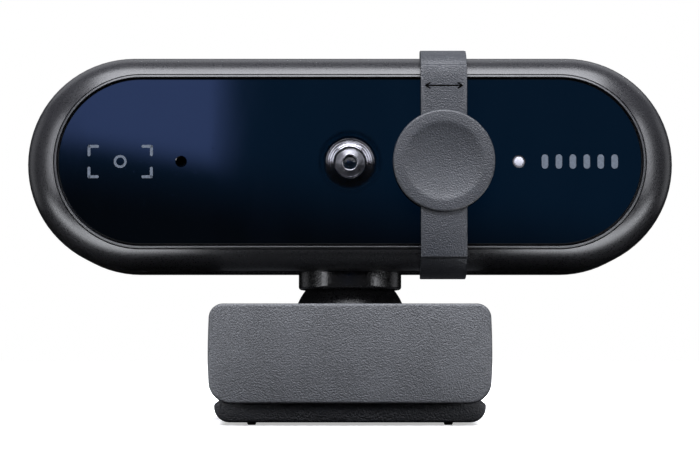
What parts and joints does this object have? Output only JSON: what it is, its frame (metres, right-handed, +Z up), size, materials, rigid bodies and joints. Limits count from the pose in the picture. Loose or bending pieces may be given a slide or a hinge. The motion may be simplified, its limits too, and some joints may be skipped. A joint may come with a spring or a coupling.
{
  "type": "webcam",
  "caption": "Pill-shaped clip-on webcam with a dark glass front, a sliding lens cover, a pan and tilt neck and a folding screen clip that also stands on a desk.",
  "frame": {"origin": "on the desk, at the foot of the neck's pan axis, midway between the clip lip's front and the leg's rear", "axes": "+Z up; +X to the right of a person facing the camera, along the head; -Y towards the person being filmed"},
  "size_m": [0.096, 0.0382, 0.0556],
  "materials": {
    "housing_black": "satin moulded black plastic, very fine texture, slightly worn to a sheen",
    "bezel_black": "smooth black plastic lip, semi-gloss",
    "window_glass": "dark back-printed glass with a clear spot over the lens, polished",
    "cover_grey": "dark grey plastic with a fine spark-eroded grain",
    "bracket_grey": "dark grey plastic with a fine spark-eroded grain",
    "neck_black": "black plastic, satin, lightly grained",
    "lens_black": "black lens mount plastic, fine turned rings",
    "lens_glass": "coated optical glass with a faint violet reflection",
    "rubber_black": "soft black rubber, matt",
    "steel_plain": "plain steel, lightly brushed",
    "nylon_pale": "natural nylon, matt",
    "board_green": "green solder mask over glass-fibre board",
    "chip_black": "moulded black chip package",
    "lamp_white": "milky white translucent plastic"
  },
  "bodies": {
    "clip": {"clip_bracket": "bracket_grey", "lip_pad": "rubber_black", "leg_hinge_pin": "steel_plain", "hinge_washer_left": "nylon_pale", "hinge_washer_right": "nylon_pale"},
    "leg": {"clip_leg": "bracket_grey", "leg_pad": "rubber_black", "foot_front_left": "rubber_black", "foot_front_right": "rubber_black", "foot_rear_left": "rubber_black", "foot_rear_right": "rubber_black"},
    "turret": {"swivel_dome": "neck_black", "pan_retainer": "neck_black", "pan_washer": "nylon_pale"},
    "head": {"body_housing": "housing_black", "front_bezel": "bezel_black", "front_window": "window_glass", "swivel_collar": "neck_black", "lens_shroud": "lens_black", "lens_barrel": "lens_black", "lens_holder": "lens_black", "lens_front_element": "lens_glass", "lens_rear_element": "lens_glass", "ir_filter": "lens_glass", "window_gasket": "rubber_black", "mic_boot": "rubber_black", "cable_gland": "rubber_black", "stem_screw": "steel_plain", "stem_nut": "steel_plain", "stem_washer": "steel_plain", "spring_washer": "steel_plain", "neck_screw_left": "steel_plain", "neck_screw_right": "steel_plain", "housing_screw_1": "steel_plain", "housing_screw_2": "steel_plain", "housing_screw_3": "steel_plain", "housing_screw_4": "steel_plain", "board_screw_1": "steel_plain", "board_screw_2": "steel_plain", "board_screw_3": "steel_plain", "board_screw_4": "steel_plain", "microphone": "steel_plain", "crystal_oscillator": "steel_plain", "tilt_saddle": "nylon_pale", "cable_connector": "nylon_pale", "main_board": "board_green", "video_processor": "chip_black", "memory_chip": "chip_black", "image_sensor": "chip_black", "status_led": "lamp_white", "led_light_guide": "lamp_white"},
    "cover": {"privacy_cover": "cover_grey"}
  },
  "joints": [
    {"name": "pan", "type": "hinge", "parent": "clip", "child": "turret", "pos_m": [0, 0, 0.0157], "axis": [0, 0, 1], "continuous": true},
    {"name": "tilt", "type": "hinge", "parent": "turret", "child": "head", "pos_m": [0, 0, 0.0145], "axis": [1, 0, 0], "range_deg": [-23, 17]},
    {"name": "cover_slide", "type": "slide", "parent": "head", "child": "cover", "axis": [1, 0, 0], "range_m": [-0.041, 0.0135]},
    {"name": "leg_fold", "type": "hinge", "parent": "clip", "child": "leg", "pos_m": [0, 0.01639, 0.0119], "axis": [1, 0, 0], "range_deg": [0, 100]}
  ]
}
